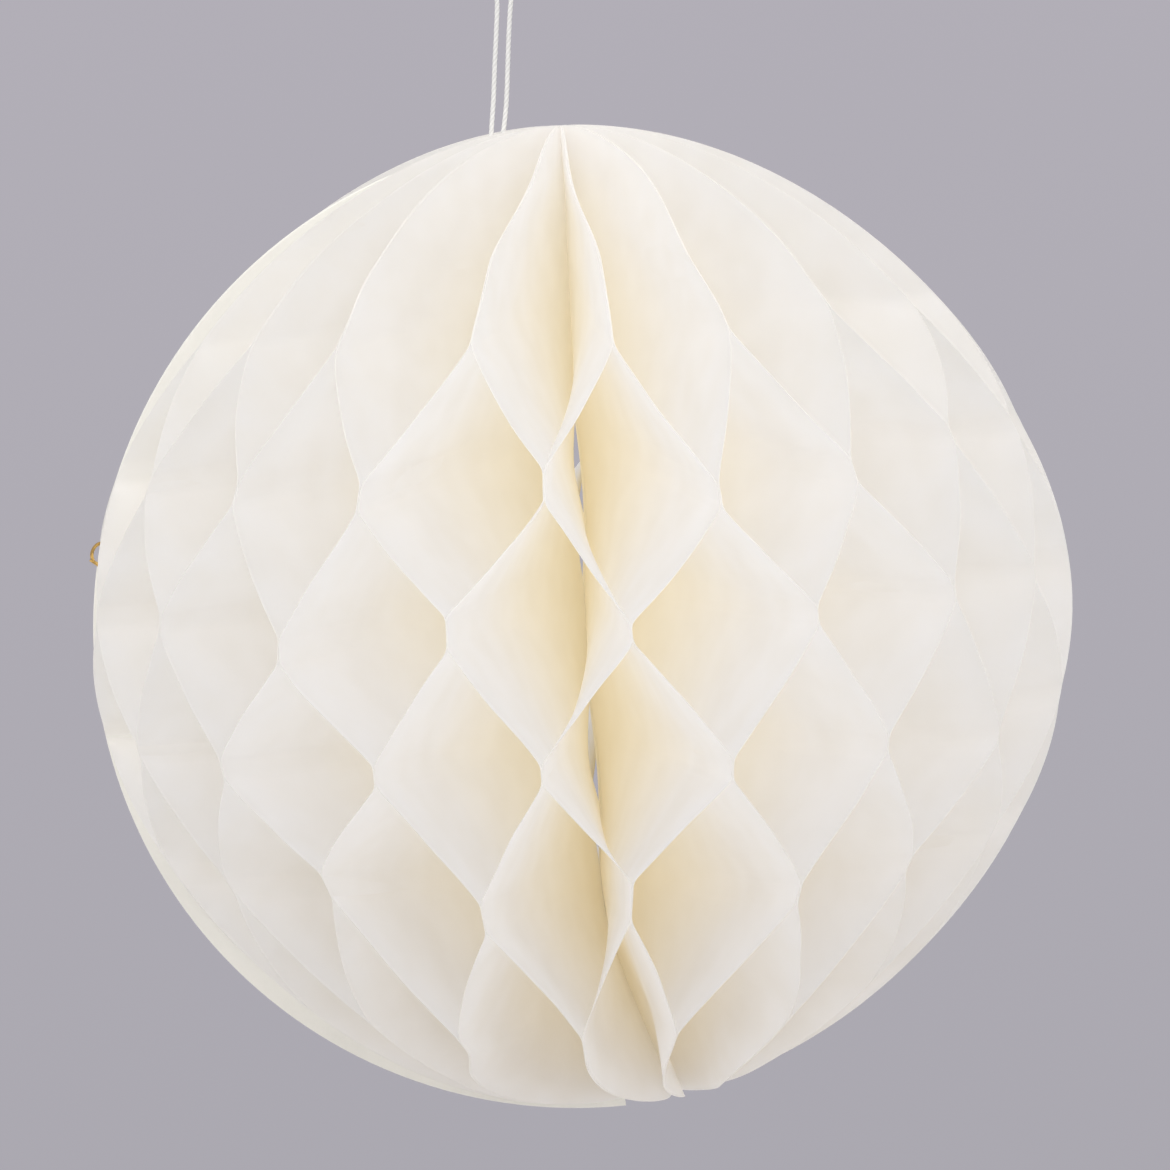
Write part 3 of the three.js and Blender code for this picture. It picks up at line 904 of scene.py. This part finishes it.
class PAPERBALL_OT_covers(bpy.types.Operator):
    """Cut the two card covers"""
    bl_idname = "paperball.covers"
    bl_label = "Card covers"

    def execute(self, context):
        look = context.scene.paper_ball_covers
        card = ivory_card(look)
        for name, node, near in (("card_front", "front_cover", -COVER_GAP / 2 - COVER_THICKNESS),
                                 ("card_back", "back_cover", COVER_GAP / 2)):
            points, faces = self.card(near, look.edge_rounding)
            piece = add_piece(name, points, faces, card, "ivory_card", node)
            piece.data.polygons.foreach_set("use_smooth", [False] * len(piece.data.polygons))
        return {"FINISHED"}

    def card(self, near, rounding):
        """Most of a half disc with a rounded cut edge: rings from the near face, round it, to the far face"""
        arc, corner = 96, rounding * 0.3
        rim = [(math.cos(a) * BALL_RADIUS - COVER_SHIFT, math.sin(a) * BALL_RADIUS - COVER_DROP)
               for a in (COVER_CORNER * (2 * i / arc - 1) - COVER_TILT for i in range(arc + 1))]
        middle = (BALL_RADIUS * 0.4, 0)
        points, faces = [], []
        profile = [(rounding, 0.0), (corner, corner), (0.0, rounding),
                   (0.0, COVER_THICKNESS - rounding), (corner, COVER_THICKNESS - corner),
                   (rounding, COVER_THICKNESS)]
        for inset, depth in profile:
            for out, height in rim:
                away = Vector((out - middle[0], height - middle[1]))
                place = Vector((out, height)) - away.normalized() * inset
                points.append(seam_point(place.x, place.y, near + depth))
        count = len(rim)
        for ring in range(len(profile) - 1):
            for i in range(count):
                a, b = ring * count + i, ring * count + (i + 1) % count
                faces.append((a, a + count, b + count, b))
        faces.append(tuple(range(count)))
        last = (len(profile) - 1) * count
        faces.append(tuple(range(last + count - 1, last - 1, -1)))
        return points, faces


class PAPERBALL_OT_clip(bpy.types.Operator):
    """Bend the wire clip over the covers' rim"""
    bl_idname = "paperball.clip"
    bl_label = "Wire clip"

    def execute(self, context):
        form = context.scene.paper_ball_clip
        side = COVER_GAP / 2 + COVER_THICKNESS + CLIP_CLEARANCE + form.wire / 2
        half = (CLIP_WIDTH - form.wire) / 2
        inner_top, inner_bottom = half - CLIP_LEG_STEP, CLIP_LEG_STEP - half
        end = CLIP_PROUD - form.wire / 2
        end_turn = end - (half + inner_top) / 2
        outer_turn = end + form.wire - CLIP_LENGTH + half
        inner_turn = end - CLIP_INNER_SHARE * CLIP_LENGTH + (inner_top - inner_bottom) / 2
        bends = [
            Vector((end - CLIP_OUTER_LEG_START, half, -side)),
            *self.turn(outer_turn, half, -half, -1, -side, -side),
            *self.turn(end_turn, -half, inner_top, 1, -side, side),
            *self.turn(inner_turn, inner_top, inner_bottom, -1, side, side),
            Vector((end - CLIP_INNER_LEG_END, inner_bottom, side)),
        ]
        step, sides = 0.0003, 16
        route = rounded_route([self.placed(bend) for bend in bends], step)
        points, faces, places = tube(route, sides, lambda travelled, angle: form.wire / 2)
        piece = add_piece("wire_clip", points, faces, brass_wire(form), "brass_wire", "paper_clip")
        set_attribute(piece, "along_wire", "FLOAT_VECTOR", unrolled(places, form.wire))
        return {"FINISHED"}

    def turn(self, centre, from_y, to_y, outward, from_z, to_z):
        """Points on a half turn, from one leg to the other"""
        bends, steps = [], 8
        for i in range(steps + 1):
            angle = math.pi * i / steps
            x = centre + outward * abs(from_y - to_y) / 2 * math.sin(angle)
            y = (from_y + to_y) / 2 + (from_y - to_y) / 2 * math.cos(angle)
            cross = min(1.0, max(-1.0, -CLIP_CROSSING * math.cos(angle)))
            bends.append(Vector((x, y, (from_z + to_z) / 2 + (to_z - from_z) / 2 * cross)))
        return bends

    def placed(self, bend):
        """From the clip's own plane, with the covers' rim at x = 0, to the row frame"""
        turn = CLIP_ANGLE + CLIP_LEAN
        out = BALL_RADIUS * math.cos(CLIP_ANGLE) + bend.x * math.cos(turn) - bend.y * math.sin(turn)
        height = BALL_RADIUS * math.sin(CLIP_ANGLE) + bend.x * math.sin(turn) + bend.y * math.cos(turn)
        return seam_point(out - COVER_SHIFT, height - COVER_DROP, bend.z)


class PAPERBALL_PT_pieces(bpy.types.Panel):
    """The ball's pieces and their settings"""
    bl_idname = "PAPERBALL_PT_pieces"
    bl_label = "Honeycomb paper ball"
    bl_space_type = "VIEW_3D"
    bl_region_type = "UI"
    bl_category = "Paper ball"

    def draw(self, context):
        for operator, group in PIECES:
            box = self.layout.box()
            box.operator(operator.bl_idname)
            settings = getattr(context.scene, group)
            for name in settings.__annotations__:
                box.prop(settings, name)


SETTINGS = {
    "paper_ball_stage": StageSettings, "paper_ball_string": StringSettings, "paper_ball_leaves": LeafSettings,
    "paper_ball_covers": CoverSettings, "paper_ball_clip": ClipSettings,
}
PIECES = [
    (PAPERBALL_OT_stage, "paper_ball_stage"), (PAPERBALL_OT_string, "paper_ball_string"),
    (PAPERBALL_OT_leaves, "paper_ball_leaves"), (PAPERBALL_OT_covers, "paper_ball_covers"),
    (PAPERBALL_OT_clip, "paper_ball_clip"),
]
CLASSES = [*SETTINGS.values(), *(operator for operator, _ in PIECES), PAPERBALL_PT_pieces]


def register():
    for item in CLASSES:
        bpy.utils.register_class(item)
    for name, group in SETTINGS.items():
        setattr(bpy.types.Scene, name, PointerProperty(type=group))


def unregister():
    for name in SETTINGS:
        delattr(bpy.types.Scene, name)
    for item in reversed(CLASSES):
        bpy.utils.unregister_class(item)


def main():
    register()
    bpy.ops.paperball.stage()
    bpy.ops.paperball.string()
    bpy.ops.paperball.leaves()
    bpy.ops.paperball.covers()
    bpy.ops.paperball.clip()


if __name__ == "__main__":
    main()
